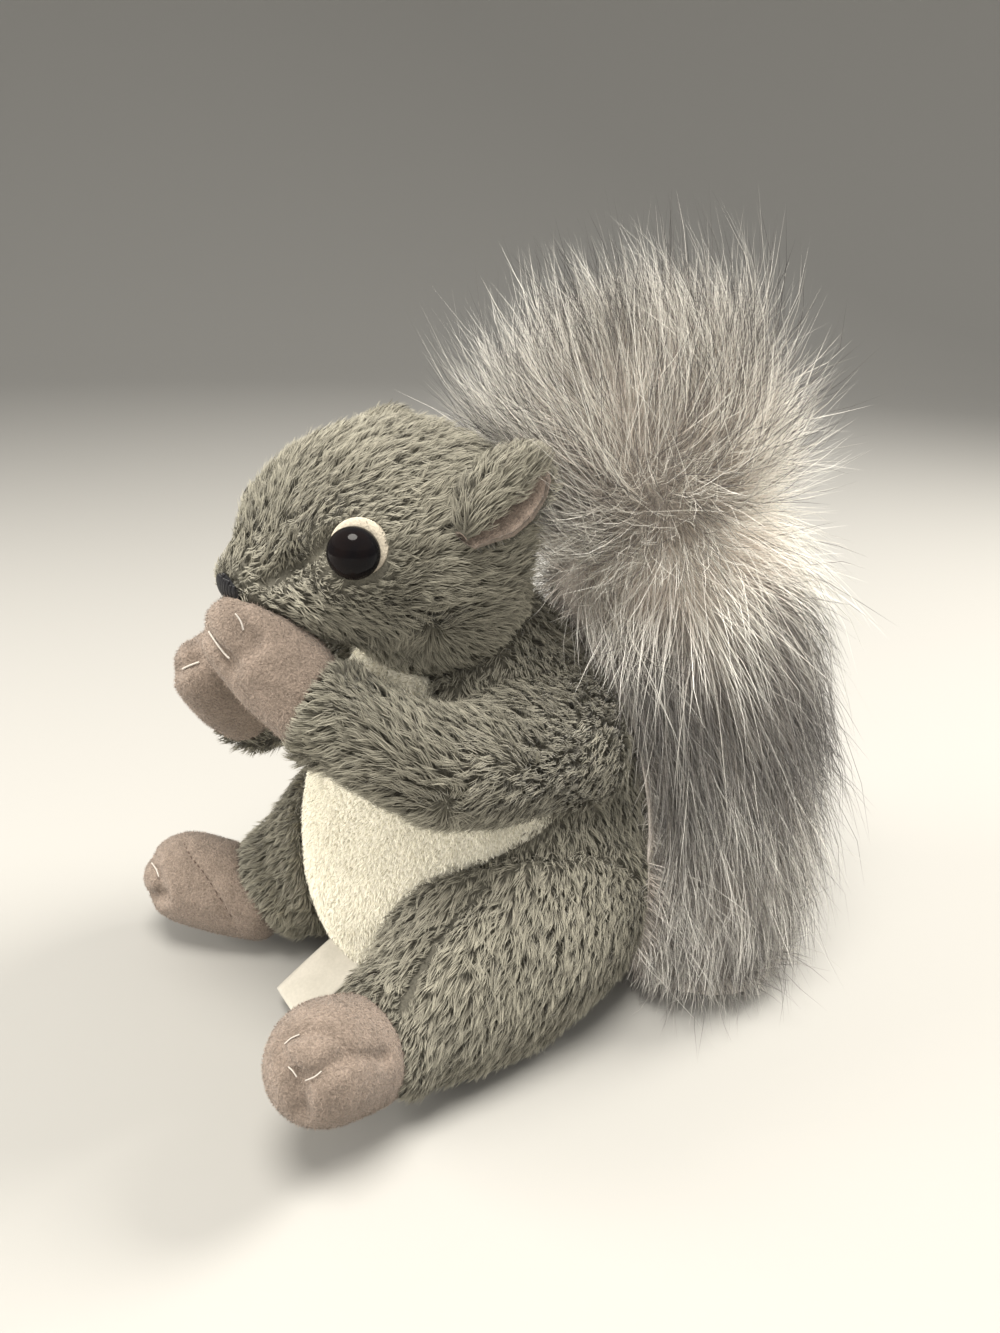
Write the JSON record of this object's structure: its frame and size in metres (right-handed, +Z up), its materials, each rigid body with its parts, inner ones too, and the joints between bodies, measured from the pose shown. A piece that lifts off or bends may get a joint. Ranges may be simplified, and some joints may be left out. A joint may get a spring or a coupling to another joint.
{
  "type": "plush squirrel",
  "caption": "Small stuffed toy squirrel that sits up with both hands at its mouth and a long-haired tail behind it.",
  "frame": {"origin": "on the flat of the seat, straight below the neck", "axes": "-Y the way the squirrel faces, +Z up, +X its own left"},
  "size_m": [0.0986, 0.1368, 0.1424],
  "materials": {
    "grey_plush": "short pile plush",
    "cream_plush": "short cream pile",
    "pink_suede": "brushed, felt-like",
    "tail_pile": "long pile fur",
    "black_plastic": "glossy",
    "black_thread": "stitched thread",
    "cream_felt": "felt",
    "washer_plastic": "moulded",
    "label_cloth": "satin tape"
  },
  "bodies": {
    "root": {"body": "grey_plush", "belly_panel": "cream_plush", "head": "grey_plush", "tail": "tail_pile", "nose": "black_thread", "label": "label_cloth", "left_ear": "grey_plush", "left_ear_lining": "pink_suede", "left_eye": "black_plastic", "left_eye_ring": "cream_felt", "left_eye_washer": "washer_plastic", "left_arm": "grey_plush", "left_hand": "pink_suede", "left_leg": "grey_plush", "left_foot": "pink_suede", "right_ear": "grey_plush", "right_ear_lining": "pink_suede", "right_eye": "black_plastic", "right_eye_ring": "cream_felt", "right_eye_washer": "washer_plastic", "right_arm": "grey_plush", "right_hand": "pink_suede", "right_leg": "grey_plush", "right_foot": "pink_suede"}
  },
  "joints": []
}
